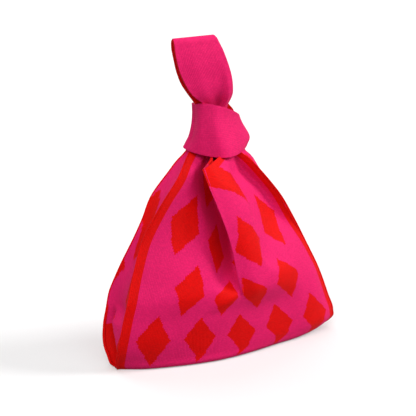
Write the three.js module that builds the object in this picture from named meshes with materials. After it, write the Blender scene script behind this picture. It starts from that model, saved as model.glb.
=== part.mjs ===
// A knit knot bag: two walls, two folded gussets and a boat-shaped base, drawn together at the
// neck. A short handle wraps the neck as the knot. The legs of a long handle pass up through it,
// and the loop of the long handle stands above.
// Millimetres, +Z up. The origin is the centre of the base on the floor. The front faces -Y.

import * as THREE from "three";

// Cloth and seams
const CLOTH = 2.4; // thickness of the double-faced knit
const SEAM_RADIUS = 1.3; // linked seam at each corner
const JOIN_SEAM_RADIUS = 0.8; // flatter seam under the fold of the long handle
const CLEARANCE = 0.3; // between pieces that touch on the real bag

// Body
const BASE_WIDTH = 270; // corner to corner on the floor
const BASE_BULGE = 31; // how far each wall bows out past its corners, at the floor
const CORNER_DEPTH = 12; // front to back at a floor corner
const GUSSET_DEPTH = 36; // front to back where the gusset is widest
const GUSSET_HEIGHT = 50; // height where the gusset is widest
const GUSSET_FOLD = 10; // how far the gusset folds in there
const NECK_HEIGHT = 222; // top edge of the gathered walls, inside the knot
const NECK_WIDTH = 48;
const NECK_DEPTH = 16; // of the gussets at the neck
const NECK_BULGE = 8;
const NECK_LEAN = 17; // how far the neck stands to the left of the base
const LEAN_HEIGHT = 150; // height where the lean is complete

// Pleat and mouth of the front wall
const PLEAT_WIDTH = 20; // across the cloth, from the fold to the valley at its left
const PLEAT_DEPTH = 18; // how far the pleat stands out
const PLEAT_LEAN = 20; // how far its fold leans over the valley, at the mouth
const VALLEY_DEPTH = 18; // how far the cloth beside it sinks in
const VALLEY_FLOOR = 13; // least distance of the valley from the middle plane, at the mouth
const VALLEY_FLOOR_LOW = 21; // and where the pleat reaches its full depth
const PLEAT_TOP_X = -34;
const PLEAT_FOOT_X = -2;
const PLEAT_FOOT = 50; // height where the pleat has faded out
const PLEAT_FULL = 140; // height where it reaches its full depth
const PLEAT_TUCK = 9; // height over which it tucks in, above and below the edge of the mouth
const MOUTH_HEIGHT = 199; // front edge of the mouth
const MOUTH_WIDTH = 38;
const DIP_DEPTH = 8; // hollow of the front wall beside its right seam
const DIP_FOOT = 110; // height where the hollow has faded out
const DIP_FULL = 170; // height where it reaches its full depth

// Soft folds of the back wall
const BACK_FOLD = 6; // how far they stand in and out
const BACK_FOLD_FOOT = 60; // height where they have faded out
const BACK_FOLD_FULL = 190; // height where they reach their full depth
const BACK_FOLD_TUCK = 32; // distance below the knot where they start to flatten

// Short handle, wrapped round the neck
const BAND_HEIGHT = 50;
const BAND_OVERLAP = 9; // how far it comes down over the walls
const RIM_DEPTH = 24; // front to back inside its upper rim
const RIM_TILT = 4; // how far the rim rises at the left and drops at the right
const BAND_BULGE = 5; // swell of its right-hand side

// Long handle
const LEG_WIDTH = 40; // gathered width inside the knot
const LEG_GAP = 0.4; // between the two legs
const PIVOT_RISE = 2.5; // of the bending line above the highest point of the rim
const STRAP_WIDTH = 52; // spread width in the loop
const STRAP_FLARE = 22; // height over which the strap spreads
const LOOP_HEIGHT = 64; // bending line to the fold at the top
const LOOP_SPREAD = 14; // sets the hand gap between the legs
const LOOP_LEAN = 25; // how far the fold stands to the left of the knot

// Shape of the curves
const SHOULDER_POWER = 1.85; // roundness of the side outline
const BELLY_POWER = 3; // how late the walls draw in towards the neck
const FLARE_POWER = 1.3; // of the band towards its lower edge
const LEAN_POWER = 1.2; // of the loop
const FOLD_ROUNDING = 0.35; // of the gusset's inner fold, as a share of its half depth
const BOW_FULLNESS = 0.25; // swell of a wall towards its seams
const EDGE_WINDOW = 0.15; // share of the front wall beside each seam that the pleat leaves flat
const PLEAT_FLANK = 0.25; // share of the front wall over which the pleat falls away to the right
const DIP_AT = 0.86; // share of the front wall where the hollow is deepest
const DIP_SPAN = 0.1;
const BACK_WAVES = 2.6; // number of folds across the back wall
const BACK_CREST = 0.54; // share of the back wall at the top of its middle fold

// Places and spans of the pleat's parts, counted in pleat widths to the left of its fold
const FOLD_SPAN = 0.5;
const LEAN_AT = 0.25;
const LEAN_SPAN = 0.75;
const TUCK_AT = 0.7; // underside, drawn in to the right
const TUCK_SPAN = 0.45;
const TUCK_SHARE = 1.15; // of the lean
const VALLEY_AT = 1.05;
const VALLEY_SPAN = 0.5;

// Facets
const WALL_ROWS = 26;
const FRONT_COLUMNS = 48;
const FOLD_COLUMN = 0.5; // share of the columns at the left of the pleat's fold
const FOLD_REACH = 3; // pleat widths that these would span at the spacing they have beside the fold
const BACK_COLUMNS = 28;
const GUSSET_COLUMNS = 6;
const BASE_STEPS = 24;
const SEAM_SIDES = 6;
const BAND_COLUMNS = 36;
const BAND_ROWS = 6;
const LOOP_STEPS = 12; // along each leg of the loop
const LOOP_COLUMNS = 5; // across the strap
const ARC_STEPS = 6;

// Heights that follow from the sizes above
const BAND_FOOT = NECK_HEIGHT - BAND_OVERLAP;
const PIVOT_HEIGHT = BAND_FOOT + BAND_HEIGHT + RIM_TILT + PIVOT_RISE;
const LEG_ROOT = (CLOTH + LEG_GAP) / 2; // middle of a leg to the neck's middle plane
const ROLL_RADIUS = LEG_ROOT + CLOTH / 2; // both legs together, at the bending line

const { clamp, lerp, smoothstep } = THREE.MathUtils;
const bell = (q) => Math.exp(-q * q);

// Body outline at a height: middle, half width, half depth of a gusset and bow of a wall

const rise = (z) => z / NECK_HEIGHT;

function middle(z) {
  return -NECK_LEAN * Math.sin((Math.min(z / LEAN_HEIGHT, 1) * Math.PI) / 2);
}

function halfWidth(z) {
  return lerp(BASE_WIDTH, NECK_WIDTH, rise(z) ** SHOULDER_POWER) / 2;
}

function gussetHalf(z) {
  if (z < GUSSET_HEIGHT) {
    const part = Math.sin((z / GUSSET_HEIGHT) * (Math.PI / 2));
    return lerp(CORNER_DEPTH, GUSSET_DEPTH, part) / 2;
  }
  return lerp(GUSSET_DEPTH, NECK_DEPTH, smoothstep(z, GUSSET_HEIGHT, NECK_HEIGHT)) / 2;
}

function bulge(z) {
  return lerp(BASE_BULGE, NECK_BULGE, rise(z) ** BELLY_POWER);
}

function bow(u) {
  return Math.sin(Math.PI * u) * (1 + BOW_FULLNESS * Math.cos(Math.PI * u) ** 2);
}

const wallX = (u, z) => middle(z) + (2 * u - 1) * halfWidth(z);

// Pleat of the front wall: a fold that runs down from the mouth to the right and leans over the
// valley at its left. It falls away slowly to the right, into a hollow beside the right seam.

const pleatRun = (z) => clamp((z - PLEAT_FOOT) / (MOUTH_HEIGHT - PLEAT_FOOT), 0, 1);

const pleatX = (z) => lerp(PLEAT_FOOT_X, PLEAT_TOP_X, pleatRun(z));

// How far the pleat moves a point of the plain wall to the right, and how far out
function pleat(u, z, plain) {
  const grown = clamp((z - PLEAT_FOOT) / (PLEAT_FULL - PLEAT_FOOT), 0, 1);
  const tucked = smoothstep(z, MOUTH_HEIGHT - PLEAT_TUCK, MOUTH_HEIGHT + PLEAT_TUCK);
  const inside = smoothstep(u, 0, EDGE_WINDOW) * smoothstep(1 - u, 0, EDGE_WINDOW) * (1 - tucked);
  const off = wallX(u, z) - pleatX(z);
  const q = off / PLEAT_WIDTH;
  const flank = off / (2 * halfWidth(z) * PLEAT_FLANK);
  const stands = PLEAT_DEPTH * Math.sin((grown * Math.PI) / 2) * bell(q < 0 ? q / FOLD_SPAN : flank);
  const floor = lerp(VALLEY_FLOOR_LOW, VALLEY_FLOOR, smoothstep(z, PLEAT_FULL, MOUTH_HEIGHT));
  const depth = clamp(plain - floor, 0, VALLEY_DEPTH) * smoothstep(grown, 0, 1);
  const sinks = depth * bell((q + VALLEY_AT) / VALLEY_SPAN);
  const dips = DIP_DEPTH * smoothstep(z, DIP_FOOT, DIP_FULL) * bell((u - DIP_AT) / DIP_SPAN);
  const tucks = TUCK_SHARE * bell((q + TUCK_AT) / TUCK_SPAN);
  const leans = bell((q + LEAN_AT) / LEAN_SPAN);
  const across = inside * PLEAT_LEAN * pleatRun(z) * (tucks - leans);
  return { across, out: inside * (stands - sinks - dips) };
}

function backFolds(u, z) {
  const full = smoothstep(z, BACK_FOLD_FOOT, BACK_FOLD_FULL);
  const flat = smoothstep(z, BAND_FOOT - BACK_FOLD_TUCK, BAND_FOOT - BACK_FOLD_TUCK / 4);
  const wave = Math.sin(Math.PI * u) * Math.cos(2 * Math.PI * BACK_WAVES * (BACK_CREST - u));
  return BACK_FOLD * full * (1 - flat) * wave;
}

// Points on the middle of the cloth. face is -1 at the front and 1 at the back, side is -1 at the
// left and 1 at the right. u runs from the left seam to the right one, and q from front to back.

function wallPoint(face, u, z) {
  const x = wallX(u, z);
  const plain = gussetHalf(z) + bulge(z) * bow(u);
  if (face > 0) return new THREE.Vector3(x, plain + backFolds(u, z), z);
  const { across, out } = pleat(u, z, plain);
  return new THREE.Vector3(x + across, -(plain + out), z);
}

function gussetPoint(side, q, z) {
  const open = Math.hypot(1, FOLD_ROUNDING);
  const fold = (open - Math.hypot(q, FOLD_ROUNDING)) / (open - FOLD_ROUNDING);
  const half = gussetHalf(z);
  const inwards = (GUSSET_FOLD * half * fold) / (GUSSET_DEPTH / 2);
  return new THREE.Vector3(middle(z) + side * (halfWidth(z) - inwards), q * half, z);
}

function cornerPoint(side, face, z) {
  return new THREE.Vector3(middle(z) + side * halfWidth(z), face * gussetHalf(z), z);
}

// Shares of a wall and of a gusset that are left free beside the seam at a corner. They are measured
// square to the seam, and leave room for the seam and for the cloth on both sides of the angle.

function cornerShares(side, face, z) {
  const step = 1e-3;
  const corner = cornerPoint(side, face, z);
  const seam = cornerPoint(side, face, z + step).sub(corner).normalize();
  const squareTo = (p) => {
    const across = p.sub(corner).divideScalar(step);
    return across.addScaledVector(seam, -across.dot(seam));
  };
  const edge = (side + 1) / 2;
  const wall = squareTo(wallPoint(face, edge - side * step, z));
  const gusset = squareTo(gussetPoint(side, face * (1 - step), z));
  const mitre = CLOTH / 2 / Math.tan(wall.angleTo(gusset) / 2);
  const free = Math.max(SEAM_RADIUS, mitre) + CLEARANCE;
  return { wall: free / wall.length(), gusset: free / gusset.length() };
}

// Solids

function facingOut(geometry) {
  const position = geometry.getAttribute("position");
  const order = geometry.index.array;
  const corner = (k) => new THREE.Vector3().fromBufferAttribute(position, order[k]);
  let volume = 0;
  for (let k = 0; k < order.length; k += 3) {
    volume += corner(k).dot(corner(k + 1).cross(corner(k + 2)));
  }
  if (volume < 0) order.reverse();
  geometry.computeVertexNormals();
  return geometry;
}

// A curved sheet of cloth, CLOTH thick, whose middle is pointAt(s, t) for s and t from 0 to 1.
// Its lower and upper edges are cut level, and a ring closes on itself along s.
function sheet(pointAt, columns, rows, ring = false) {
  const step = 1e-3;
  const positions = [];
  const across = ring ? columns : columns + 1;
  for (const side of [0.5, -0.5]) {
    for (let j = 0; j <= rows; j += 1) {
      for (let i = 0; i < across; i += 1) {
        const s = i / columns;
        const t = j / rows;
        const s0 = ring ? s : Math.min(s, 1 - step);
        const t0 = Math.min(t, 1 - step);
        const ds = pointAt(s0 + step, t).sub(pointAt(s0, t));
        const dt = pointAt(s, t0 + step).sub(pointAt(s, t0));
        const normal = ds.cross(dt);
        if (j === 0 || j === rows) normal.setZ(0);
        normal.normalize();
        positions.push(...pointAt(s, t).addScaledVector(normal, side * CLOTH).toArray());
      }
    }
  }
  const layer = across * (rows + 1);
  const at = (side, i, j) => side * layer + j * across + (i % across);
  const order = [];
  const quad = (a, b, c, d) => order.push(a, b, c, a, c, d);
  for (let i = 0; i < columns; i += 1) {
    for (let j = 0; j < rows; j += 1) {
      quad(at(0, i, j), at(0, i + 1, j), at(0, i + 1, j + 1), at(0, i, j + 1));
      quad(at(1, i, j), at(1, i, j + 1), at(1, i + 1, j + 1), at(1, i + 1, j));
    }
    quad(at(0, i, 0), at(1, i, 0), at(1, i + 1, 0), at(0, i + 1, 0));
    quad(at(0, i, rows), at(0, i + 1, rows), at(1, i + 1, rows), at(1, i, rows));
  }
  for (let j = 0; j < rows && !ring; j += 1) {
    quad(at(0, 0, j), at(0, 0, j + 1), at(1, 0, j + 1), at(1, 0, j));
    quad(at(0, columns, j), at(1, columns, j), at(1, columns, j + 1), at(0, columns, j + 1));
  }
  const geometry = new THREE.BufferGeometry();
  geometry.setAttribute("position", new THREE.Float32BufferAttribute(positions, 3));
  geometry.setIndex(order);
  return facingOut(geometry);
}

function tube(points, radius, steps) {
  const section = new THREE.Shape();
  for (let k = 0; k < SEAM_SIDES; k += 1) {
    const angle = (2 * Math.PI * k) / SEAM_SIDES;
    const [x, y] = [radius * Math.cos(angle), radius * Math.sin(angle)];
    if (k === 0) section.moveTo(x, y);
    else section.lineTo(x, y);
  }
  const extrudePath = new THREE.CatmullRomCurve3(points);
  return new THREE.ExtrudeGeometry(section, { steps, extrudePath });
}

// Walls, gussets and base

function wallGeometry(face, columns, shareAt, topAt) {
  const pointAt = (s, t) => {
    const z = t * topAt(s);
    const left = cornerShares(-1, face, z).wall;
    const right = 1 - cornerShares(1, face, z).wall;
    return wallPoint(face, lerp(left, right, shareAt(s, z)), z);
  };
  return sheet(pointAt, columns, WALL_ROWS);
}

// The columns of the front wall run along the pleat, and at its left they lie closer together.
function frontShare(s, z) {
  const width = 2 * halfWidth(z);
  const fold = 0.5 + (pleatX(z) - middle(z)) / width;
  if (s > FOLD_COLUMN) return lerp(fold, 1, (s - FOLD_COLUMN) / (1 - FOLD_COLUMN));
  const away = 1 - s / FOLD_COLUMN;
  const near = Math.min((FOLD_REACH * PLEAT_WIDTH) / width, fold);
  return fold - near * away - (fold - near) * away ** 3;
}

// The front wall dips between the shoulders, and the dip is the mouth of the bag.
function mouthTop(s) {
  const off = wallX(frontShare(s, MOUTH_HEIGHT), MOUTH_HEIGHT) - PLEAT_TOP_X;
  const q = off / (MOUTH_WIDTH / 2);
  return NECK_HEIGHT - (NECK_HEIGHT - MOUTH_HEIGHT) * bell(q * q);
}

function gussetGeometry(side) {
  const pointAt = (s, t) => {
    const z = t * NECK_HEIGHT;
    const reach = 1 - cornerShares(side, -1, z).gusset;
    return gussetPoint(side, lerp(-reach, reach, s), z);
  };
  return sheet(pointAt, GUSSET_COLUMNS, WALL_ROWS);
}

// Distance from the middle plane out to the inner face of a wall at a height, less a gap
function innerHalfDepth(x, z, gap) {
  const u = 0.5 + (x - middle(z)) / (2 * halfWidth(z));
  const step = 1e-3;
  const slope = (bulge(z) * (bow(u + step) - bow(u - step))) / (4 * step * halfWidth(z));
  const lean = gussetHalf(z + 1) - gussetHalf(z);
  const inset = (CLOTH / 2 + gap) * Math.hypot(1, slope, lean);
  return gussetHalf(z) + bulge(z) * bow(u) - inset;
}

// The base lies flat between the walls, clear of their inner faces at its lower and upper side.
function baseGeometry() {
  const levels = [0, CLOTH];
  const endAt = (side) => {
    const reach = levels.map((z) => side * gussetPoint(side, 0, z).x);
    return side * (Math.min(...reach) - CLOTH);
  };
  const outline = [];
  for (let k = 0; k <= BASE_STEPS; k += 1) {
    const x = lerp(endAt(-1), endAt(1), k / BASE_STEPS);
    const y = Math.min(...levels.map((z) => innerHalfDepth(x, z, CLEARANCE)));
    outline.push(new THREE.Vector2(x, -y));
  }
  const back = outline.map((p) => new THREE.Vector2(p.x, -p.y)).reverse();
  const shape = new THREE.Shape([...outline, ...back]);
  return new THREE.ExtrudeGeometry(shape, { depth: CLOTH, bevelEnabled: false });
}

// The base seams lie inside the bag, in the angle between the base and each wall.
function baseSeamGeometry(face) {
  const end = BASE_WIDTH / 2 - CORNER_DEPTH;
  const z = CLOTH + CLEARANCE + SEAM_RADIUS;
  const points = [];
  for (let k = 0; k <= BASE_STEPS; k += 1) {
    const x = lerp(-end, end, k / BASE_STEPS);
    const y = face * innerHalfDepth(x, z, CLEARANCE + SEAM_RADIUS);
    points.push(new THREE.Vector3(x, y, z));
  }
  return tube(points, SEAM_RADIUS, BASE_STEPS);
}

function sideSeamGeometry(side, face) {
  const points = [];
  for (let k = 0; k <= WALL_ROWS; k += 1) {
    const z = lerp(SEAM_RADIUS, NECK_HEIGHT - SEAM_RADIUS, k / WALL_ROWS);
    points.push(cornerPoint(side, face, z));
  }
  return tube(points, SEAM_RADIUS, WALL_ROWS);
}

// Short handle: a flared cuff. Its lower edge clears the four seams of the neck, and its rim
// grips the legs of the long handle. The neck's axis is its own origin in plan.
function bandGeometry() {
  const wall = CLOTH / 2 + CLEARANCE;
  const facet = 1 / Math.cos(Math.PI / BAND_COLUMNS); // room for the flats between its corners
  const neckDepth = gussetHalf(BAND_FOOT) + bulge(BAND_FOOT) + CLOTH / 2;
  const seamDepth = gussetHalf(BAND_FOOT) + SEAM_RADIUS;
  const seamWidth = halfWidth(BAND_FOOT) + SEAM_RADIUS;
  const neckWidth = seamWidth / Math.sqrt(1 - (seamDepth / neckDepth) ** 2);
  const footDepth = neckDepth * facet + wall;
  const footWidth = neckWidth * facet + wall;
  const rimDepth = (RIM_DEPTH + CLOTH) / 2;
  const gripWidth = LEG_WIDTH / 2 / Math.sqrt(1 - ((2 * ROLL_RADIUS) / RIM_DEPTH) ** 2);
  const rimWidth = gripWidth * facet + wall;
  const pointAt = (s, t) => {
    const angle = 2 * Math.PI * s;
    const flare = (1 - t) ** FLARE_POWER;
    const right = Math.max(Math.cos(angle), 0);
    const swell = BAND_BULGE * right * Math.sin(Math.PI * (1 - flare));
    const x = lerp(rimWidth, footWidth, flare) * Math.cos(angle) + swell;
    const y = lerp(rimDepth, footDepth, flare) * Math.sin(angle);
    const z = BAND_FOOT + t * (BAND_HEIGHT - RIM_TILT * Math.cos(angle));
    return new THREE.Vector3(x, y, z);
  };
  return sheet(pointAt, BAND_COLUMNS, BAND_ROWS, true);
}

// Long handle: flat legs with rounded edges, from the shoulders up to the bending line
function legGeometry() {
  const half = (LEG_WIDTH - CLOTH) / 2;
  const section = new THREE.Shape();
  section.absarc(half, 0, CLOTH / 2, -Math.PI / 2, Math.PI / 2);
  section.absarc(-half, 0, CLOTH / 2, Math.PI / 2, (3 * Math.PI) / 2);
  const top = PIVOT_HEIGHT - ROLL_RADIUS - CLEARANCE;
  const depth = top - NECK_HEIGHT - CLEARANCE;
  return new THREE.ExtrudeGeometry(section, { depth, curveSegments: ARC_STEPS, bevelEnabled: false });
}

// Side view of the loop, from the bending line up: one leg, moved off its middle by a distance
function loopProfile(turn, off) {
  const [s, c] = [Math.sin(turn), Math.cos(turn)];
  const y = c * (LEG_ROOT + LOOP_SPREAD * s);
  const dy = c * c * LOOP_SPREAD - s * (LEG_ROOT + LOOP_SPREAD * s);
  const dz = LOOP_HEIGHT * c;
  const size = Math.hypot(dy, dz);
  return new THREE.Vector2(y + (off * dz) / size, LOOP_HEIGHT * s - (off * dy) / size);
}

function loopOutline(off, from) {
  const leg = [];
  for (let k = 0; k <= LOOP_STEPS; k += 1) {
    leg.push(loopProfile(lerp(from, Math.PI / 2, k / LOOP_STEPS), off));
  }
  const other = leg.slice(0, -1).map((p) => new THREE.Vector2(-p.x, p.y));
  return [...leg, ...other.reverse()];
}

function loopWidth(h) {
  return lerp(LEG_WIDTH, STRAP_WIDTH, smoothstep(h, 0, STRAP_FLARE));
}

function loopMiddle(h) {
  return -LOOP_LEAN * (Math.max(h, 0) / LOOP_HEIGHT) ** LEAN_POWER;
}

// The two legs of the loop meet in a round roll at the bending line, where the cloth folds over.
function loopGeometry() {
  const outline = loopOutline(CLOTH / 2, 0);
  for (let k = 1; k < ARC_STEPS; k += 1) {
    const angle = Math.PI + (Math.PI * k) / ARC_STEPS;
    outline.push(new THREE.Vector2(ROLL_RADIUS * Math.cos(angle), ROLL_RADIUS * Math.sin(angle)));
  }
  const shape = new THREE.Shape(outline);
  const parting = Math.asin(CLOTH / 2 / LOOP_SPREAD); // where the legs are clear of each other
  shape.holes.push(new THREE.Path(loopOutline(-CLOTH / 2, parting)));
  const geometry = new THREE.ExtrudeGeometry(shape, {
    depth: 1,
    steps: LOOP_COLUMNS,
    bevelEnabled: false,
  });
  const position = geometry.getAttribute("position");
  for (let k = 0; k < position.count; k += 1) {
    const h = position.getY(k);
    const x = loopMiddle(h) + (0.5 - position.getZ(k)) * loopWidth(h);
    position.setXYZ(k, x, -position.getX(k), h);
  }
  geometry.computeVertexNormals();
  return geometry;
}

function joinSeamGeometry() {
  const h = LOOP_HEIGHT - CLOTH / 2 - CLEARANCE - JOIN_SEAM_RADIUS;
  const reach = loopWidth(h) / 2 - CLOTH;
  const ends = [-reach, reach].map((x) => new THREE.Vector3(loopMiddle(h) + x, 0, h));
  return tube(ends, JOIN_SEAM_RADIUS, 1);
}

// Scene

const knit = (color) => new THREE.MeshStandardMaterial({ color, roughness: 0.85, metalness: 0 });
const PINK = 0xee2a6c;
const RED = 0xe30c0c;

function piece(group, name, geometry, color) {
  const mesh = new THREE.Mesh(geometry, knit(color));
  mesh.name = name;
  group.add(mesh);
  return mesh;
}

const bag = new THREE.Group();
const backShare = (s) => s;
const backTop = () => NECK_HEIGHT;
piece(bag, "front_panel", wallGeometry(-1, FRONT_COLUMNS, frontShare, mouthTop), PINK);
piece(bag, "back_panel", wallGeometry(1, BACK_COLUMNS, backShare, backTop), PINK);
piece(bag, "base_panel", baseGeometry(), RED);
for (const [sideName, side] of [["left", -1], ["right", 1]]) {
  piece(bag, `${sideName}_gusset`, gussetGeometry(side), PINK);
  for (const [faceName, face] of [["front", -1], ["back", 1]]) {
    piece(bag, `${faceName}_${sideName}_seam`, sideSeamGeometry(side, face), RED);
  }
}
for (const [faceName, face] of [["front", -1], ["back", 1]]) {
  piece(bag, `base_${faceName}_seam`, baseSeamGeometry(face), RED);
}

const knot = new THREE.Group();
knot.position.x = -NECK_LEAN;
bag.add(knot);
piece(knot, "short_handle", bandGeometry(), PINK);
for (const [faceName, face] of [["front", -1], ["back", 1]]) {
  const leg = piece(knot, `long_handle_${faceName}_leg`, legGeometry(), PINK);
  leg.position.set(0, face * LEG_ROOT, NECK_HEIGHT + CLEARANCE);
}

const loop = new THREE.Group();
loop.position.z = PIVOT_HEIGHT;
knot.add(loop);
piece(loop, "long_handle_loop", loopGeometry(), PINK);
piece(loop, "long_handle_join_seam", joinSeamGeometry(), RED);

export default bag;
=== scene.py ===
import math

import bpy
import numpy as np
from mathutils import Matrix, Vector


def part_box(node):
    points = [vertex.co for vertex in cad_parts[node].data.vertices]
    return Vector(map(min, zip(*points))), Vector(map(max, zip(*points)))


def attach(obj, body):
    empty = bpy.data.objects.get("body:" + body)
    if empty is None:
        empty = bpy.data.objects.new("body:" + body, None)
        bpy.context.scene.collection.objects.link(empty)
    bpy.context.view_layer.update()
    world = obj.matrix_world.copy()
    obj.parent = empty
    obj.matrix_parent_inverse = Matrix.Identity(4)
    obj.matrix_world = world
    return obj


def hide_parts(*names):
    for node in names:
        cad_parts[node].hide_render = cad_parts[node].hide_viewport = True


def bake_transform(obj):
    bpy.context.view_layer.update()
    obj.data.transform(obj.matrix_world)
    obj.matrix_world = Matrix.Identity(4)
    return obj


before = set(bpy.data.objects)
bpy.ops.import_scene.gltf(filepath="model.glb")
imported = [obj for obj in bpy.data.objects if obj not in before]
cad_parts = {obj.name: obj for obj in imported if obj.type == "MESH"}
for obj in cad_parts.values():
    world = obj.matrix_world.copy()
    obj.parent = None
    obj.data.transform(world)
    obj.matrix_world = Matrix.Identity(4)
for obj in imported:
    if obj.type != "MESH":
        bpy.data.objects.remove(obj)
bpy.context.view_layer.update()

# The shapes below are drawn in millimetres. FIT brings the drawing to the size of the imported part, in metres.
DRAWN_NECK = 222.0
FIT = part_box("front_panel")[1].z / DRAWN_NECK
MM = 0.001

# Camera, from the photograph: it stands to the left of the front and a little above.
CAMERA_YAW = -30.5
CAMERA_RISE = 15.5
CAMERA_REACH = 1.4
CAMERA_AIM = (0.0013, 0.0458, 0.140)
CAMERA_LENS = 112.33
CAMERA_SENSOR = 36

# A point that moves back by 1 mm keeps its place in the picture if it also moves right and down by these.
SIGHT_ACROSS = math.tan(math.radians(-CAMERA_YAW))
SIGHT_DOWN = math.tan(math.radians(CAMERA_RISE)) / math.cos(math.radians(CAMERA_YAW))

# Cloth: thickness, rounding of its edges, seams and flat widths. Lengths are in millimetres.
CLOTH = 2.0
STRAP_CLOTH = 2.4
EDGE_ROUND = 0.8
EDGE_STEPS = 2
EDGE_ANGLE = 60
SEAM_RADIUS = 0.8
SEAM_SIDES = 10
SEAM_FIRST_ROW = 2
FLAT_WIDTH = 292.0
STRAP_WIDE = 52.0
BAND_WIDE = 50.0

# How the cloth lies on a wall: the share of the width over which the drawn-in cloth spreads, how much of that
# the pleat takes away and between which heights, and how far the courses rise and between which heights
SPREAD_PLAIN = 0.46
SPREAD_PLEAT = 0.43
SPREAD_HEIGHTS = (40, 135)
COURSE_LEAN = 0.42
LEAN_HEIGHTS = (10, 150)

# Stitches, in metres, with the slant of the V and the height of the yarn where it dips
STITCH_WIDE = 0.0017
STITCH_HIGH = 0.0012
STITCH_SLANT = 0.5
YARN_LOW = 0.5
WALE_SHARP = 3.0

# Motif of the walls, in metres: staggered lozenges inside a plain border. Their centres stand on whole or
# half columns, and the first and last limits fall between those.
MOTIF_WIDE = 0.0548
MOTIF_HIGH = 0.068
MOTIF_FOOT = 0.006
MOTIF_STEP = 2.0
MOTIF_SHIFT = 0.5
MOTIF_ROWS = 4
MOTIF_COLUMNS = 5
MOTIF_FIRST = -0.25
MOTIF_LAST = MOTIF_COLUMNS - 0.75
MOTIF_HALF_WIDE = 0.36
MOTIF_HALF_HIGH = 0.49
SIDE_MOTIF_AT = 2.5
BORDER_SIDE = 0.009
BORDER_MOUTH = 0.008
BORDER_FOOT = 0.044
NO_BORDER = 100.0

# Look of the knit: sRGB colours, pale flecks, painted shade where the yarn dips (by loft), random tone by
# stitch and by cloud, and the surface
PINK = (232, 27, 103)
RED = (226, 4, 3)
PALE_PINK = (255, 110, 160)
PALE_RED = (240, 40, 30)
FLECK = 0.012
FLECK_RARE = 3.0
SHADE_BASE = 0.84
# Painted shade: how much darker the colour is where the yarn dips and in the grooves between wales
PAINTED_SHADE_LOFT = 0.16
TONE_SPECK = 0.13
TONE_CLOUD = 0.08
CLOUD_SCALE = 26.0
CLOUD_DETAIL = 3.0
ROUGH_BASE = 0.72
ROUGH_LOFT = 0.12
BUMP_STRENGTH = 0.4
BUMP_DEEP = 0.0004
SPECULAR = 0.1
SHEEN = 0.03
SHEEN_ROUGH = 0.4
SHEEN_TINT = (1, 0.5, 0.65, 1)

# Grid sizes, and how the rows of a wall are shared between even steps and steps that close up at the floor
WALL_COLUMNS = 160
WALL_ROWS = 80
GUSSET_COLUMNS = 28
BASE_ROWS = 9
BAND_COLUMNS = 96
BAND_ROWS = 24
STRAP_COLUMNS = 44
STRAP_ROWS = 110
LEVEL_EVEN = 0.45
LEVEL_CLOSE = 0.55
LEVEL_POWER = 1.9

# Seams between the walls and the sides: height, place across the front, half of the depth of the side and
# how far its middle is set back
LEFT_SEAM = [
    (0, -136.5, 4, 0), (3, -138.3, 5.8, 0), (10, -139.6, 9.5, 0), (20, -140.8, 15, 0),
    (40, -139, 19.5, 0), (60, -134.6, 20.3, 0), (75, -130.9, 21, 0), (90, -125.9, 18, 0),
    (105, -120.1, 14.7, 0), (135, -106.3, 9, 0), (150, -97.9, 9.5, 0), (172, -84, 13, 2),
    (195, -62, 10.8, 6), (205, -52, 7.5, 10), (212, -44.5, 4, 12), (224, -36, 2.5, 12),
]
RIGHT_SEAM = [
    (0, 108, 5, 0), (3, 116.5, 7.5, 0), (10, 127.6, 11, 0), (20, 126.8, 14, 0),
    (40, 118.1, 16, 0), (75, 103.2, 16.5, 0), (105, 87.5, 15.5, 0), (135, 70, 17, 0),
    (165, 50.5, 18, 0), (180, 38, 18, 0), (195, 24.7, 17, 0), (205, 15.7, 14, 0),
    (212, 7.5, 9.5, 0), (224, -3, 7.5, 0),
]
# How far the back edge at the right stands out past the front one: height, distance
RIGHT_STAND_OUT = [(0, 0), (165, 0), (179, 3), (193, 7.5), (203, 13), (213, 14), (224, 8)]

# Front wall. Columns: left seam, three on the left flank, the valley, the underside of the pleat, its fold,
# its face, its crest, two on the right flank, the inner line of the right border, right seam.
COLUMN_AT = np.array([0, 0.10, 0.20, 0.28, 0.36, 0.42, 0.48, 0.53, 0.60, 0.72, 0.85, 0.94, 1])
FOLD_COLUMN = 6
FOLD_NEAR = 0.012
FOLD_SHARP = 0.2
VALLEY_AT = 0.40
PLEAT_FROM = 0.46
SEAM_REACH = 0.12
# Low levels: height, how deep the wall stands in front of the middle. The outline of the foot is the share of
# that depth along the width.
LOW_LEVELS = [(0, 34), (1.3, 38), (3, 39.5), (10, 41), (30, 44.5), (55, 48.5)]
FOOT_OUTLINE = [
    (0, 0), (0.05, 0.27), (0.19, 0.7), (0.3, 0.91), (0.43, 1.03),
    (0.56, 0.97), (0.72, 0.77), (0.94, 0.33), (1, 0),
]
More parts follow.
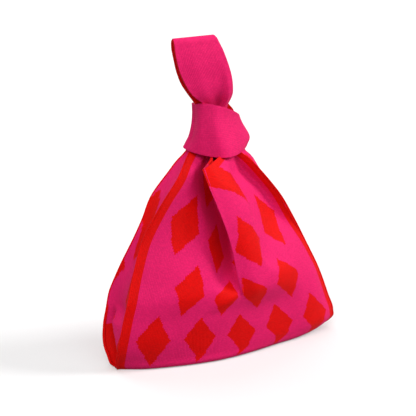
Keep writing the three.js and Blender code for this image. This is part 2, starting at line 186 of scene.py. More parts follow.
# Levels above them: height, then place across and in depth of each column between the seams
FRONT_LEVELS = {
    80: [(-101, -37), (-73, -46.5), (-46, -50), (-21, -51), (-16, -52.5), (-19, -54.5), (-5, -57.5),
         (11, -55.5), (35, -50), (68, -36.5), (92, -23.5)],
    91: [(-99, -34), (-72, -44), (-46, -46), (-14, -33), (-13, -45), (-22, -54.5), (-8, -58),
         (8, -55.5), (32, -50), (64, -35.5), (87, -22)],
    105: [(-96, -31), (-70, -40.5), (-45, -41), (-6, -17), (-9, -38), (-25, -54), (-11, -57),
          (4.5, -55), (19.5, -46.5), (57, -33), (80, -20.5)],
    135: [(-87, -22), (-66, -30), (-45, -29), (-5, -5), (-11, -32), (-31.8, -52.5), (-18, -54.5),
          (-3, -52), (12, -40), (50, -15.5), (63.5, -16)],
    170: [(-73.5, -17), (-58.5, -19.5), (-43.5, -14.5), (-16, 3.5), (-19, -24), (-42.8, -46.5), (-28, -47.5),
          (-10.5, -44.8), (3, -30.5), (33, -9), (41, -16.5)],
    195: [(-57.5, -12), (-50, -13), (-41, -7.5), (-24, 4), (-28, -20), (-50.4, -39), (-38, -40),
          (-22.5, -35.5), (-11, -22), (10.5, -6.5), (20, -15)],
    204: [(-49.5, -6), (-43, -7), (-36, -3.5), (-25, 3), (-31, -18), (-51.7, -34.2), (-41, -35.5),
          (-22.5, -27), (-9.5, -17.5), (4, -7), (12.5, -12.5)],
    212: [(-42, 4.5), (-36, 2), (-30, 0), (-23.5, 1.5), (-31.5, -15), (-53, -29), (-44, -31.5),
          (-22, -20), (-12, -12), (-2, -7), (4.5, -9)],
    224: [(-34, 6), (-31, 1), (-27, -4), (-22, -5), (-31, -15), (-54, -27), (-45, -28),
          (-20, -14), (-13, -11), (-7, -8), (-5, -7.5)],
}
MOUTH_AT = [224, 224, 224, 223, 220, 212, 206, 209.5, 214, 221, 224, 224, 224]

# Back wall: how far it bulges and how deep its folds are, by height; number and place of the folds
BACK_DEEP = [
    (0, 27), (2.5, 29.5), (9, 29), (30, 27.5), (60, 30), (100, 31), (150, 25), (195, 15), (222, 6),
]
BACK_FOLD = [(0, 0), (60, 0), (110, 1.6), (160, 5), (200, 6), (222, 3)]
BACK_FOLDS = 2.6
BACK_FOLD_AT = 0.46
BACK_DRAWN_IN = 0.5

# Sides: how far they are tucked in, by height. The slanting fold of the left one starts at its front seam and
# ends at LEFT_FOLD_AT of its depth, and its deep tuck gives way to a plain one between LEFT_TUCK_HEIGHTS.
SIDE_FOOT = 1.6
LEFT_TUCK = [(0, 36), (9, 36), (22, 33), (40, 25), (57, 11), (80, 4), (120, 3), (170, 4), (222, 1)]
LEFT_FOLD_AT = 0.68
LEFT_FOLD_HEIGHTS = (14, 60)
LEFT_FOLD_WIDE = 0.22
LEFT_TUCK_HEIGHTS = (48, 66)
LEFT_TUCK_GAIN = 1.35
RIGHT_TUCK = [
    (0, -7), (9, -10), (30, -12), (60, -12), (110, -7), (150, -3), (185, 3.5), (205, 4), (222, 0),
]
RIGHT_TUCK_ROUND = 1.3

# Base: share of the foot's depth, height of its under side
BASE_INSET = 0.97
BASE_LIFT = 0.3

# Knot: outlines of the band at its left, right, front and back, each from the top rim down
BAND_LEFT = [
    (-41.3, 266), (-40.7, 255.5), (-41.5, 245), (-43.5, 236), (-45.5, 230.5), (-48.4, 225.5), (-51.5, 220.3),
]
BAND_RIGHT = [(12, 250), (13.8, 245.5), (16.5, 240.5), (20.2, 235), (23.8, 229.5), (25.2, 224), (21.5, 217.5)]
BAND_FRONT = [(13.5, 263.5), (14.5, 256), (16.5, 247), (18.5, 238), (20, 229), (21.3, 220), (22, 211.5)]
BAND_BACK = [(21, 260), (22, 252.5), (23, 243.5), (24, 236), (25, 229), (26, 223), (26, 217)]
# Place of its ridge across and set-back of its sides, by the share of its height from the lower rim
BAND_APEX = [(0, -1), (0.22, -9), (0.5, -12.5), (0.7, -11.5), (1, -5)]
BAND_SET_BACK = [(0, 14), (1, 9)]
BAND_RIDGE = 0.75
RIDGE_ROUND = 0.42
BACK_ROUND = 0.65
BAND_DENT = 3.0
DENT_AT = -0.42
DENT_WIDE = 0.24

# Long handle: height, left edge, right edge and depth of each leg, how much it is cupped and where
FRONT_LEG = [
    (228, -24, -3, 0.5, 0.5, 0.62), (250, -25, -3, 1, 0.65, 0.62), (262, -28.5, -1.5, 2.6, 0.75, 0.76),
    (267, -35, 0.2, 4.8, 0.8, 0.79), (273, -43.8, 0.8, 7.5, 0.75, 0.82), (281.5, -51.5, -0.4, 9, 0.5, 0.87),
    (292, -57.7, -2.4, 9, 0.25, 0.89), (303, -62.4, -6.2, 9, 0.08, 0.9), (317, -65.4, -11.4, 7.6, 0, 0.9),
    (326, -66.2, -14.6, 5.8, 0, 0.9), (331, -66.4, -16.2, 4.6, 0, 0.9),
]
BACK_LEG = [
    (228, -28, 14, 13, 0.1, 0.6), (246, -29, 12, 12, 0.1, 0.6), (255, -31, 9, 10.5, 0.15, 0.6),
    (261, -34, 3, 9.5, 0.15, 0.6), (267, -38.6, -3.5, 9, 0.15, 0.6), (275, -45, -3, 8.5, 0.15, 0.6),
    (285.5, -52, -3, 9, 0.1, 0.6), (297, -56.9, -5, 9, 0.05, 0.6), (312, -61, -9.4, 8.5, 0, 0.6),
    (324, -64.4, -13.6, 6.4, 0, 0.6), (331, -65.4, -15.8, 4.4, 0, 0.6),
]
LOOP_TOP = 334.3
TOP_FROM = 318
TOP_TILT = 0.8
CORNER_DROP = 3.0
CORNER_FROM = 0.93
CORNER_TO = 1.02
# Section of a cupped leg, as shares of its width up to the crease: a groove, then a crest at the crease, then
# an edge that turns back
CUP_DEPTH = 9.0
GROOVE_FROM = 0.2
GROOVE_AT = 0.84
GROOVE = 0.5
CREST_AT = 1.02
CREST = 0.35
EDGE_TURN = 0.4
EDGE_CURL = 0.3
CURL_WIDE = 0.4

# Floor and light. Lamps: name, degrees round from the front and up, strength, angle of the soft disc
WHITE = (1, 1, 1, 1)
FLOOR_REACH = 9
FLOOR_BOUNCE = (0.3, 0.3, 0.3, 1)
FLOOR_SEEN = (0.66, 0.66, 0.66, 1)
FLOOR_GLOW = 0.22
FLOOR_ROUGH = 0.9
SKY_LIGHT = 0.16
LAMP_REACH = 2
LAMPS = [
    ("key", 62, 30, 2.45, 24),
    ("front", 0, 38, 0.75, 50),
    ("left", -52, 45, 1.7, 45),
    ("rear", 170, 48, 1.2, 60),
]


def smooth(low, high, value):
    """0 up to low, 1 from high on, and a soft step between them."""
    share = np.clip((np.asarray(value, float) - low) / (high - low), 0, 1)
    return share * share * (3 - 2 * share)


def through(knots, values, at):
    """A smooth curve through values at knots, read at each place in at."""
    knots = np.asarray(knots, float)
    values = np.asarray(values, float)
    slopes = np.gradient(values, knots, axis=0)
    at = np.clip(np.asarray(at, float), knots[0], knots[-1])
    left = np.clip(np.searchsorted(knots, at, side="right") - 1, 0, len(knots) - 2)
    span = knots[left + 1] - knots[left]
    share = (at - knots[left]) / span
    shape = share.shape + (1,) * (values.ndim - 1)
    share = share.reshape(shape)
    span = span.reshape(shape)
    start = (1 + 2 * share) * (1 - share) ** 2
    lift = share * (1 - share) ** 2
    end = share ** 2 * (3 - 2 * share)
    fall = share ** 2 * (share - 1)
    return (start * values[left] + lift * span * slopes[left]
            + end * values[left + 1] + fall * span * slopes[left + 1])


def curve(table, at):
    """A smooth curve through a table of pairs, read at each place in at."""
    knots, values = np.array(table, float).T
    return through(knots, values, at)


def lens(share):
    """Outline of the boat-shaped base, fullest a little left of the middle."""
    return curve(FOOT_OUTLINE, share)


def run(points, axis):
    """Length along a grid of points, counted from the first row or column."""
    steps = np.linalg.norm(np.diff(points, axis=axis), axis=-1)
    first = np.zeros_like(np.take(steps, [0], axis=axis))
    return np.concatenate([first, np.cumsum(steps, axis=axis)], axis=axis)


# Front wall as a loft through its levels, with two more columns that keep the pleat's fold sharp
LEVELS = [row[0] for row in LOW_LEVELS] + sorted(FRONT_LEVELS)
FOLD_AT = COLUMN_AT[FOLD_COLUMN]
WALL_AT = np.sort(np.append(COLUMN_AT, [FOLD_AT - FOLD_NEAR, FOLD_AT + FOLD_NEAR]))


def with_fold(section):
    """A section with a point close to the fold on either side of it."""
    before, fold, after = section[FOLD_COLUMN - 1:FOLD_COLUMN + 2]
    inner = fold + (before - fold) * FOLD_SHARP
    outer = fold + (after - fold) * FOLD_SHARP
    return np.vstack([section[:FOLD_COLUMN], inner, fold, outer, section[FOLD_COLUMN + 1:]])


def seam_at(table, heights, face):
    """Places across and in depth of a seam: face is -1 for the front edge of a side and 1 for its back."""
    table = np.array(table, float)
    across, half, back = through(table[:, 0], table[:, 1:], np.asarray(heights, float)).T
    return np.column_stack([across, back + face * half])


def front_sections():
    """Places across and in depth of each column of the front wall, level by level."""
    left = seam_at(LEFT_SEAM, LEVELS, -1)
    right = seam_at(RIGHT_SEAM, LEVELS, -1)
    sections = []
    for start, end, (_, deep) in zip(left, right, LOW_LEVELS):
        section = start + (end - start) * COLUMN_AT[:, None]
        section[:, 1] -= (deep + section[:, 1]) * lens(COLUMN_AT)
        sections.append(section)
    for i, height in enumerate(sorted(FRONT_LEVELS), len(LOW_LEVELS)):
        sections.append(np.vstack([left[i], FRONT_LEVELS[height], right[i]]))
    return np.array([with_fold(section) for section in sections])


SECTIONS = front_sections()


def front_point(share, heights):
    """Points of the front wall at one share of its width, at several heights. It ends in the seams."""
    line = through(WALL_AT, np.swapaxes(SECTIONS, 0, 1), np.array([share]))[0]
    xy = through(LEVELS, line, heights)
    for table, end, near in ((LEFT_SEAM, 0, 1 - share), (RIGHT_SEAM, -1, share)):
        miss = seam_at(table, heights, -1) - through(LEVELS, SECTIONS[:, end], heights)
        xy = xy + miss * smooth(1 - SEAM_REACH, 1, near)
    return np.column_stack([xy, heights])


def level_steps(count, top):
    """Heights from the floor to top, closer together where the wall turns under."""
    share = np.linspace(0, 1, count)
    return top * (LEVEL_EVEN * share + LEVEL_CLOSE * share ** LEVEL_POWER)


def front_grid():
    """The front wall, from left to right and from the floor up to the line of the mouth."""
    shares = np.linspace(0, 1, WALL_COLUMNS)
    tops = through(COLUMN_AT, MOUTH_AT, shares)
    columns = [front_point(s, level_steps(WALL_ROWS, t)) for s, t in zip(shares, tops)]
    return np.stack(columns, 1)


def back_right(heights):
    """Back edge at the right: it follows the front one and stands out under the knot."""
    points = np.column_stack([seam_at(RIGHT_SEAM, heights, 1), heights])
    points[:, 0] += curve(RIGHT_STAND_OUT, heights)
    return points


def back_left(heights):
    """Back edge at the left."""
    return np.column_stack([seam_at(LEFT_SEAM, heights, 1), heights])


def back_grid():
    """The back wall, from right to left: a plain bulge that gathers into three soft folds at the neck."""
    heights = level_steps(WALL_ROWS, DRAWN_NECK)
    start = back_right(heights)
    end = back_left(heights)
    deep = curve(BACK_DEEP, heights)
    fold = curve(BACK_FOLD, heights)
    columns = []
    for share in np.linspace(0, 1, WALL_COLUMNS):
        point = start + (end - start) * share
        wave = math.sin(math.pi * share) * math.cos(math.tau * BACK_FOLDS * (share - BACK_FOLD_AT))
        point[:, 1] += deep * lens(1 - share) + fold * wave
        columns.append(point)
    return np.stack(columns, 1)


def side_steps():
    """Heights of the side walls, which end just above the floor."""
    return SIDE_FOOT + level_steps(WALL_ROWS, DRAWN_NECK - SIDE_FOOT)


def left_gusset_grid():
    """Left side wall from the back seam to the front seam, tucked in behind a slanting fold at the floor."""
    heights = side_steps()
    back = back_left(heights)
    front = front_point(0, heights)
    tuck = curve(LEFT_TUCK, heights)
    ridge = LEFT_FOLD_AT * smooth(*LEFT_FOLD_HEIGHTS, heights)
    low = 1 - smooth(*LEFT_TUCK_HEIGHTS, heights)
    columns = []
    for share in np.linspace(0, 1, GUSSET_COLUMNS):
        point = back + (front - back) * share
        behind = 1 - share - ridge
        fade = np.cos(math.pi / 2 * np.clip(behind / (1 - ridge), 0, 1))
        hollow = smooth(0, LEFT_FOLD_WIDE, behind) * fade
        plain = math.sin(math.pi * share)
        point[:, 0] += tuck * (low * LEFT_TUCK_GAIN * hollow + (1 - low) * plain)
        columns.append(point)
    return np.stack(columns, 1)


def right_gusset_grid():
    """Right side wall from the front seam to the back seam: folded in below, puffed out under the knot."""
    heights = side_steps()
    front = front_point(1, heights)
    back = back_right(heights)
    tuck = curve(RIGHT_TUCK, heights)
    columns = []
    for share in np.linspace(0, 1, GUSSET_COLUMNS):
        point = front + (back - front) * share
        point[:, 0] += tuck * math.sin(math.pi * share) ** RIGHT_TUCK_ROUND
        columns.append(point)
    return np.stack(columns, 1)


def base_grid():
    """The base, from back to front, a little inside the foot of the front wall and its mirror image."""
    shares = np.linspace(0, 1, WALL_COLUMNS)
    front = np.array([front_point(s, np.array([0.0]))[0] for s in shares])
    rows = []
    for share in np.linspace(0, 1, BASE_ROWS):
        row = front.copy()
        row[:, 1] = -front[:, 1] * (1 - 2 * share) * BASE_INSET
        row[:, 2] = BASE_LIFT
        rows.append(row)
    return np.stack(rows, 0)


def band_grid():
    """The short handle round the neck, from the lower rim up, once round from the left over the front."""
    tables = [np.array(t, float)[::-1] for t in (BAND_LEFT, BAND_RIGHT, BAND_FRONT, BAND_BACK)]
    knots = np.linspace(0, 1, len(BAND_LEFT))
    at = np.linspace(0, 1, BAND_ROWS)
    left, right, front, back = (through(knots, t, at) for t in tables)
    apex = curve(BAND_APEX, at)
    behind = curve(BAND_SET_BACK, at)
    slope = math.hypot(1, RIDGE_ROUND) - RIDGE_ROUND
    columns = []
    for turn in np.linspace(math.pi, 3 * math.pi, BAND_COLUMNS, endpoint=False):
        c = math.cos(turn)
        s = math.sin(turn)
        x = (left[:, 0] + right[:, 0]) / 2 + (right[:, 0] - left[:, 0]) / 2 * c
        set_back = behind * (1 - abs(s))
        if s < 0:
            x = x + apex * s * s
            tent = 1 - (math.hypot(c, RIDGE_ROUND) - RIDGE_ROUND) / slope
            dent = math.exp(-(((c - DENT_AT) / DENT_WIDE) ** 2)) * np.sin(math.pi * at)
            y = BAND_DENT * dent - front[:, 0] * (BAND_RIDGE * tent - (1 - BAND_RIDGE) * s)
        else:
            y = behind * s + (back[:, 0] - behind) * s ** BACK_ROUND
        sides = (right[:, 1] - left[:, 1]) / 2 * c
        ends = (back[:, 1] - front[:, 1]) / 2 * s
        middle = (left[:, 1] + right[:, 1] + front[:, 1] + back[:, 1]) / 4
        skew = (left[:, 1] + right[:, 1] - front[:, 1] - back[:, 1]) / 4 * math.cos(2 * turn)
        x = x + set_back * SIGHT_ACROSS
        z = middle + sides + ends + skew - set_back * SIGHT_DOWN
        columns.append(np.column_stack([x, y + set_back, z]))
    return np.stack(columns, 1)


def strap_grid():
    """The long handle from the foot of its front leg over the top and down to the foot of its back leg."""
    front = np.array(FRONT_LEG, float)
    back = np.array(BACK_LEG, float)
    top = (front[-1] + back[-1]) / 2
    rows = [(z, left, right, -y, cup, at) for z, left, right, y, cup, at in front]
    rows.append((LOOP_TOP, top[1], top[2], 0, 0, top[5]))
    rows += [(z, left, right, y, -cup, at) for z, left, right, y, cup, at in back[::-1]]
    rows = np.array(rows)
    walk = np.linalg.norm(np.diff(rows[:, [0, 3]], axis=0), axis=1)
    knots = np.concatenate([[0], np.cumsum(walk)])
    z, left, right, y, cup, crease = through(knots, rows, np.linspace(0, knots[-1], STRAP_ROWS)).T
    columns = []
    for share in np.linspace(0, 1, STRAP_COLUMNS):
        rise = share / crease
        past = np.clip((share - crease) / (1 - crease), 0, 1)
        dent = GROOVE * smooth(GROOVE_FROM, GROOVE_AT, rise)
        dent = dent - (GROOVE + CREST) * smooth(GROOVE_AT, CREST_AT, rise)
        dent = dent + (CREST + EDGE_TURN) * past
        curl = EDGE_CURL * (1 - smooth(0, CURL_WIDE, share)) * np.clip(-y, 0, None)
        drop = CORNER_DROP * smooth(CORNER_FROM, CORNER_TO, share) + TOP_TILT * (1 - share)
        across = left + (right - left) * share
        deep = y + cup * dent * CUP_DEPTH + curl
        columns.append(np.column_stack([across, deep, z - drop * smooth(TOP_FROM, LOOP_TOP, z)]))
    return np.stack(columns, 1)


def linear(colour):
    """sRGB 0 to 255 as the linear colour that the shader takes."""
    parts = [c / 255 for c in colour]
    return tuple(p / 12.92 if p <= 0.04045 else ((p + 0.055) / 1.055) ** 2.4 for p in parts) + (1,)


class Paint:
    """A material whose node tree is put together from short calls."""

    def __init__(self, name):
        self.material = bpy.data.materials.new(name)
        self.material.use_nodes = True
        self.tree = self.material.node_tree
        self.shader = self.tree.nodes["Principled BSDF"]

    def node(self, kind, **settings):
        made = self.tree.nodes.new(kind)
        for key, value in settings.items():
            setattr(made, key, value)
        return made

    def put(self, value, socket):
        if isinstance(value, bpy.types.NodeSocket):
            self.tree.links.new(value, socket)
        else:
            socket.default_value = value

    def surface(self, name, value):
        self.put(value, self.shader.inputs[name])

    def math(self, operation, *values):
        made = self.node("ShaderNodeMath", operation=operation)
        for value, socket in zip(values, made.inputs):
            self.put(value, socket)
        return made.outputs[0]

    def from_middle(self, value):
        """How far a value is from the middle of its whole step, 0 to a half."""
        return self.math("ABSOLUTE", self.math("SUBTRACT", self.math("FRACT", value), 0.5))

    def sway(self, value, amount):
        """A value from 0 to 1 as a change of half the amount either way."""
        return self.math("MULTIPLY", self.math("SUBTRACT", value, 0.5), amount)

    def mix(self, share, first, second):
        made = self.node("ShaderNodeMix", data_type="RGBA")
        self.put(share, made.inputs[0])
        self.put(first, made.inputs[6])
        self.put(second, made.inputs[7])
        return made.outputs[2]

    def uv(self, name):
        parts = self.node("ShaderNodeSeparateXYZ")
        self.tree.links.new(self.node("ShaderNodeUVMap", uv_map=name).outputs[0], parts.inputs[0])
        return parts.outputs[0], parts.outputs[1]


def lozenges(paint, column, row):
    """1 inside the staggered lozenges of a wall, which step from stitch to stitch, and 0 outside them."""
    across = paint.math("MULTIPLY", paint.math("ADD", column, 0.5), STITCH_WIDE)
    across = paint.math("DIVIDE", paint.math("SUBTRACT", across, BORDER_SIDE), MOTIF_WIDE)
    step = paint.math("FLOOR", paint.math("MULTIPLY", row, 1 / MOTIF_STEP))
    middle = paint.math("ADD", paint.math("MULTIPLY", step, MOTIF_STEP), MOTIF_STEP / 2)
    along = paint.math("SUBTRACT", paint.math("MULTIPLY", middle, STITCH_HIGH), MOTIF_FOOT)
    along = paint.math("DIVIDE", along, MOTIF_HIGH)
    odd = paint.math("MODULO", paint.math("FLOOR", along), 2.0)
    shifted = paint.math("ADD", across, paint.math("MULTIPLY", paint.math("ABSOLUTE", odd), MOTIF_SHIFT))
    wide = paint.math("DIVIDE", paint.from_middle(shifted), MOTIF_HALF_WIDE)
    high = paint.math("DIVIDE", paint.from_middle(along), MOTIF_HALF_HIGH)
    inside = paint.math("LESS_THAN", paint.math("ADD", wide, high), 1.0)
    inside = paint.math("MULTIPLY", inside, paint.math("LESS_THAN", along, MOTIF_ROWS))
    centre = paint.math("SUBTRACT", paint.math("FLOOR", shifted), paint.math("MULTIPLY", odd, MOTIF_SHIFT))
    inside = paint.math("MULTIPLY", inside, paint.math("GREATER_THAN", centre, MOTIF_FIRST))
    return paint.math("MULTIPLY", inside, paint.math("LESS_THAN", centre, MOTIF_LAST))


def knit(name, ground, pale, motif=None, bordered=True):
    """Double-faced knit: rows of V stitches with painted shade where the yarn dips, flecked with pale fibre,
    and a motif that may have a border.
    """
    paint = Paint(name)
    u, v = paint.uv("cloth")
    wale = paint.math("DIVIDE", u, STITCH_WIDE)
    course = paint.math("DIVIDE", v, STITCH_HIGH)
    column = paint.math("FLOOR", wale)
    row = paint.math("FLOOR", course)
    side = paint.math("MULTIPLY", paint.from_middle(wale), 2.0)
    lean = paint.math("ADD", course, paint.math("MULTIPLY", side, STITCH_SLANT))
    yarn = paint.math("SUBTRACT", 1.0, paint.math("MULTIPLY", paint.from_middle(lean), 2.0))
    groove = paint.math("SUBTRACT", 1.0, paint.math("POWER", side, WALE_SHARP))
    lift = paint.math("ADD", paint.math("MULTIPLY", yarn, 1 - YARN_LOW), YARN_LOW)
    loft = paint.math("MULTIPLY", lift, groove)

    spot = paint.node("ShaderNodeCombineXYZ")
    paint.put(column, spot.inputs[0])
    paint.put(row, spot.inputs[1])
    speck = paint.node("ShaderNodeTexWhiteNoise", noise_dimensions="2D")
    paint.put(spot.outputs[0], speck.inputs["Vector"])
    place = paint.node("ShaderNodeTexCoord")
    cloud = paint.node("ShaderNodeTexNoise")
    paint.put(CLOUD_SCALE, cloud.inputs["Scale"])
    paint.put(CLOUD_DETAIL, cloud.inputs["Detail"])
    paint.put(place.outputs["Object"], cloud.inputs["Vector"])

    fleck = paint.math("MULTIPLY", paint.math("POWER", speck.outputs["Value"], FLECK_RARE), FLECK)
    colour = paint.mix(fleck, linear(ground), linear(pale))
    if motif:
        inside = lozenges(paint, column, row)
        if bordered:
            edge, mouth = paint.uv("margin")
            beside = paint.math("LESS_THAN", edge, BORDER_SIDE)
            border = paint.math("MAXIMUM", beside, paint.math("LESS_THAN", mouth, BORDER_MOUTH))
            inside = paint.math("MAXIMUM", inside, border)
        colour = paint.mix(inside, colour, linear(motif))

    # Painted shade: the colour is darker where the yarn dips and in the grooves between wales; the speck and
    # the cloud add random tone.
    shade = paint.math("ADD", SHADE_BASE, paint.math("MULTIPLY", loft, PAINTED_SHADE_LOFT))
    shade = paint.math("ADD", shade, paint.sway(speck.outputs["Value"], TONE_SPECK))
    shade = paint.math("ADD", shade, paint.sway(cloud.outputs[0], TONE_CLOUD))
    tone = paint.node("ShaderNodeHueSaturation")
    paint.put(shade, tone.inputs["Value"])
    paint.put(colour, tone.inputs["Color"])
    bump = paint.node("ShaderNodeBump")
    paint.put(BUMP_STRENGTH, bump.inputs["Strength"])
    paint.put(BUMP_DEEP, bump.inputs["Distance"])
    paint.put(loft, bump.inputs["Height"])

    paint.surface("Base Color", tone.outputs[0])
    paint.surface("Roughness", paint.math("SUBTRACT", ROUGH_BASE, paint.math("MULTIPLY", loft, ROUGH_LOFT)))
    paint.surface("Normal", bump.outputs[0])
    paint.surface("Specular IOR Level", SPECULAR)
    paint.surface("Sheen Weight", SHEEN)
    paint.surface("Sheen Roughness", SHEEN_ROUGH)
    paint.surface("Sheen Tint", SHEEN_TINT)
    return paint.material


def grid_mesh(name, grid, cloth, margin=None, closed=False, caps=False):
    """A mesh from a grid of points in drawing millimetres. cloth and margin are read per grid corner."""
    rows, columns = grid.shape[:2]
    mesh = bpy.data.meshes.new(name)
    spans = columns if closed else columns - 1
    faces = []
    corners = []
    for i in range(rows - 1):
        for j in range(spans):
            k = (j + 1) % columns
            faces.append((i * columns + j, i * columns + k, (i + 1) * columns + k, (i + 1) * columns + j))
            corners += [(i, j), (i, j + 1), (i + 1, j + 1), (i + 1, j)]
    if caps:
        faces.append(tuple(range(columns - 1, -1, -1)))
        corners += [(0, j) for j in range(columns - 1, -1, -1)]
        faces.append(tuple((rows - 1) * columns + j for j in range(columns)))
        corners += [(rows - 1, j) for j in range(columns)]
    mesh.from_pydata([tuple(p) for p in grid.reshape(-1, 3) * FIT], [], faces)
    index = np.array(corners)
    for label, values in (("cloth", cloth), ("margin", margin)):
        if values is not None:
            layer = mesh.uv_layers.new(name=label)
            layer.data.foreach_set("uv", (values[index[:, 0], index[:, 1]] * MM).astype(np.float32).ravel())
    mesh.polygons.foreach_set("use_smooth", [True] * len(mesh.polygons))
    piece = bpy.data.objects.new(name, mesh)
    bpy.context.scene.collection.objects.link(piece)
    return piece


def add_cloth(piece, outer, inner, thick, edge=None):
    """Gives a sheet its thickness inwards, with rounded edges and its own inner face."""
    piece.data.materials.append(outer)
    piece.data.materials.append(inner)
    piece.data.materials.append(edge or outer)
    solid = piece.modifiers.new("thickness", "SOLIDIFY")
    solid.thickness = thick * MM
    solid.offset = -1
    solid.use_even_offset = False
    solid.material_offset = 1
    solid.material_offset_rim = 2
    soft = piece.modifiers.new("rounding", "BEVEL")
    soft.width = EDGE_ROUND * MM
    soft.segments = EDGE_STEPS
    soft.limit_method = "ANGLE"
    soft.angle_limit = math.radians(EDGE_ANGLE)
    return piece


def wall_maps(grid, drawn_in, pleated, border_from=0.0):
    """Cloth coordinates and margins of a wall. The width that is drawn in hides in the valley beside the
    pleat, or spreads out where there is none, and the courses stay square to the seam on their side of it.
    The mouth's border starts at border_from."""
    shares = np.linspace(0, 1, grid.shape[1])
    across = run(grid, 1)
    back_across = across[:, -1:] - across
    up = run(grid, 0)
    heights = grid[:, :1, 2]
    spread = SPREAD_PLAIN - pleated * SPREAD_PLEAT * smooth(*SPREAD_HEIGHTS, heights)
    part = smooth(0, 1, (shares[None, :] - drawn_in + spread) / (2 * spread))
    spare = FLAT_WIDTH - across[:, -1:]
    lean = COURSE_LEAN * smooth(*LEAN_HEIGHTS, heights)
    rise = lean * (across * (1 - part) + back_across * part)
    cloth = np.stack([across + part * spare, up + rise], -1)
    mouth = up[-1:] - up + NO_BORDER * (shares < border_from)
    margin = np.stack([np.minimum(across, back_across), mouth], -1)
    return cloth, margin


def side_maps(grid):
    """Cloth coordinates of a side wall, with a column of the motif on its middle line and a plain foot."""
    across = run(grid, 1)
    up = run(grid, 0)
    middle = (BORDER_SIDE + MOTIF_WIDE * SIDE_MOTIF_AT) / MM
    cloth = np.stack([across - across[:, -1:] / 2 + middle, up], -1)
    margin = np.stack([np.full_like(up, NO_BORDER), up * (BORDER_MOUTH / BORDER_FOOT)], -1)
    return cloth, margin


def tube(name, path, radius, material):
    """A thin linked seam along a path of points."""
    ahead = np.gradient(path, axis=0)
    ahead /= np.linalg.norm(ahead, axis=1)[:, None]
    first = np.cross(ahead, np.array([0.0, 1.0, 0.0]))
    first /= np.linalg.norm(first, axis=1)[:, None]
    second = np.cross(first, ahead)
    turns = np.linspace(0, math.tau, SEAM_SIDES, endpoint=False)
    grid = np.stack([path + radius * (first * math.cos(a) + second * math.sin(a)) for a in turns], 1)
    length = run(path[:, None, :], 0)
    around = np.linspace(0, math.tau * radius, SEAM_SIDES + 1)[None, :]
    cloth = np.stack(np.broadcast_arrays(around, length), -1)
    piece = grid_mesh(name, grid, cloth, closed=True, caps=True)
    piece.data.materials.append(material)
    return piece


def place_round(thing, target, turn, climb, reach):
    """Puts a camera or a lamp round from the front and up by these degrees, and turns it to its target."""
    turn = math.radians(turn)
    climb = math.radians(climb)
    away = Vector((math.sin(turn) * math.cos(climb), -math.cos(turn) * math.cos(climb), math.sin(climb)))
    thing.location = Vector(target) + away * reach
    thing.rotation_euler = (-away).to_track_quat("-Z", "Y").to_euler()
    bpy.context.scene.collection.objects.link(thing)


# Camera
camera = bpy.data.objects.new("camera", bpy.data.cameras.new("camera"))
camera.data.lens = CAMERA_LENS
camera.data.sensor_width = CAMERA_SENSOR
place_round(camera, CAMERA_AIM, CAMERA_YAW, CAMERA_RISE, CAMERA_REACH)
bpy.context.scene.camera = camera

# Materials
wall_face = knit("wall_knit", PINK, PALE_PINK, RED)
wall_lining = knit("wall_knit_reverse", RED, PALE_RED, PINK, bordered=False)
pink_knit = knit("pink_knit", PINK, PALE_PINK)
red_knit = knit("red_knit", RED, PALE_RED)

# Walls
grid = front_grid()
cloth, margin = wall_maps(grid, VALLEY_AT, 1.0, PLEAT_FROM)
front = add_cloth(grid_mesh("front_wall", grid, cloth, margin), wall_face, wall_lining, CLOTH, red_knit)
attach(front, "bag")
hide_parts("front_panel")

grid = back_grid()
cloth, margin = wall_maps(grid, BACK_DRAWN_IN, 0.0)
back = add_cloth(grid_mesh("back_wall", grid, cloth, margin), wall_face, wall_lining, CLOTH, red_knit)
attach(back, "bag")
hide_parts("back_panel")

for name, node, grid in (
    ("left_side", "left_gusset", left_gusset_grid()),
    ("right_side", "right_gusset", right_gusset_grid()),
):
    cloth, margin = side_maps(grid)
    side = add_cloth(grid_mesh(name, grid, cloth, margin), wall_face, wall_lining, CLOTH, red_knit)
    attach(side, "bag")
    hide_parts(node)

# Base
grid = base_grid()
cloth = np.stack([run(grid, 1), run(grid, 0)], -1)
base = add_cloth(grid_mesh("base", grid, cloth), red_knit, red_knit, CLOTH)
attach(base, "bag")
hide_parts("base_panel", "base_front_seam", "base_back_seam")

# Seams, which start just above the floor
heights = level_steps(WALL_ROWS, DRAWN_NECK)
for name, node, path in (
    ("front_left_edge", "front_left_seam", front_point(0, heights)),
    ("front_right_edge", "front_right_seam", front_point(1, heights)),
    ("back_left_edge", "back_left_seam", back_left(heights)),
    ("back_right_edge", "back_right_seam", back_right(heights)),
):
    seam = tube(name, path[SEAM_FIRST_ROW:], SEAM_RADIUS, red_knit)
    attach(seam, "bag")
    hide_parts(node)

# Knot
grid = band_grid()
around = run(np.concatenate([grid, grid[:, :1]], 1), 1)
around = np.broadcast_to(around.mean(0, keepdims=True), around.shape)
up = np.broadcast_to(np.linspace(0, BAND_WIDE, BAND_ROWS)[:, None], around.shape)
band = grid_mesh("knot_band", grid, np.stack([up, around], -1), closed=True)
add_cloth(band, pink_knit, red_knit, STRAP_CLOTH)
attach(band, "bag")
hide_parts("short_handle")

# Long handle, cupped where its legs leave the knot
grid = strap_grid()
along = run(grid, 0)
along = np.broadcast_to(along.mean(1, keepdims=True), along.shape)
across = np.broadcast_to(np.linspace(0, STRAP_WIDE, STRAP_COLUMNS)[None, :], along.shape)
strap = grid_mesh("long_handle", grid, np.stack([across, along], -1))
add_cloth(strap, pink_knit, red_knit, STRAP_CLOTH, red_knit)
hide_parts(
    "long_handle_front_leg", "long_handle_back_leg", "long_handle_loop", "long_handle_join_seam",
)
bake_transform(strap)

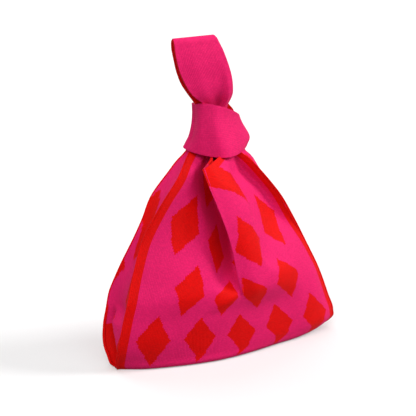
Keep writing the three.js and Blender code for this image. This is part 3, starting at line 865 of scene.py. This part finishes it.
# Floor
corners = [(-FLOOR_REACH, -FLOOR_REACH, 0), (FLOOR_REACH, -FLOOR_REACH, 0)]
corners += [(FLOOR_REACH, FLOOR_REACH, 0), (-FLOOR_REACH, FLOOR_REACH, 0)]
floor = bpy.data.objects.new("floor", bpy.data.meshes.new("floor"))
floor.data.from_pydata(corners, [], [(0, 1, 2, 3)])
bpy.context.scene.collection.objects.link(floor)
paint = Paint("floor")
ray = paint.node("ShaderNodeLightPath").outputs
seen = paint.math("MAXIMUM", ray["Is Camera Ray"], ray["Is Glossy Ray"])
seen = paint.math("MAXIMUM", seen, ray["Is Transmission Ray"])
paint.surface("Base Color", paint.mix(ray["Is Camera Ray"], FLOOR_BOUNCE, FLOOR_SEEN))
paint.surface("Roughness", FLOOR_ROUGH)
paint.surface("Specular IOR Level", 0.0)
paint.surface("Emission Color", WHITE)
paint.surface("Emission Strength", paint.math("MULTIPLY", seen, FLOOR_GLOW))
floor.data.materials.append(paint.material)

# Light: an even sky, which the camera sees as white, and soft lamps
world = bpy.data.worlds.new("studio")
bpy.context.scene.world = world
world.use_nodes = True
tree = world.node_tree
sky = tree.nodes["Background"]
sky.inputs["Color"].default_value = WHITE
sky.inputs["Strength"].default_value = SKY_LIGHT
plain = tree.nodes.new("ShaderNodeBackground")
plain.inputs["Color"].default_value = WHITE
plain.inputs["Strength"].default_value = 1.0
pick = tree.nodes.new("ShaderNodeMixShader")
tree.links.new(tree.nodes.new("ShaderNodeLightPath").outputs["Is Camera Ray"], pick.inputs[0])
tree.links.new(sky.outputs[0], pick.inputs[1])
tree.links.new(plain.outputs[0], pick.inputs[2])
tree.links.new(pick.outputs[0], tree.nodes["World Output"].inputs[0])

for name, turn, climb, power, spread in LAMPS:
    lamp = bpy.data.objects.new(name, bpy.data.lights.new(name, "SUN"))
    lamp.data.energy = power
    lamp.data.angle = math.radians(spread)
    place_round(lamp, (0, 0, 0), turn, climb, LAMP_REACH)

bpy.context.scene.view_settings.view_transform = "Standard"
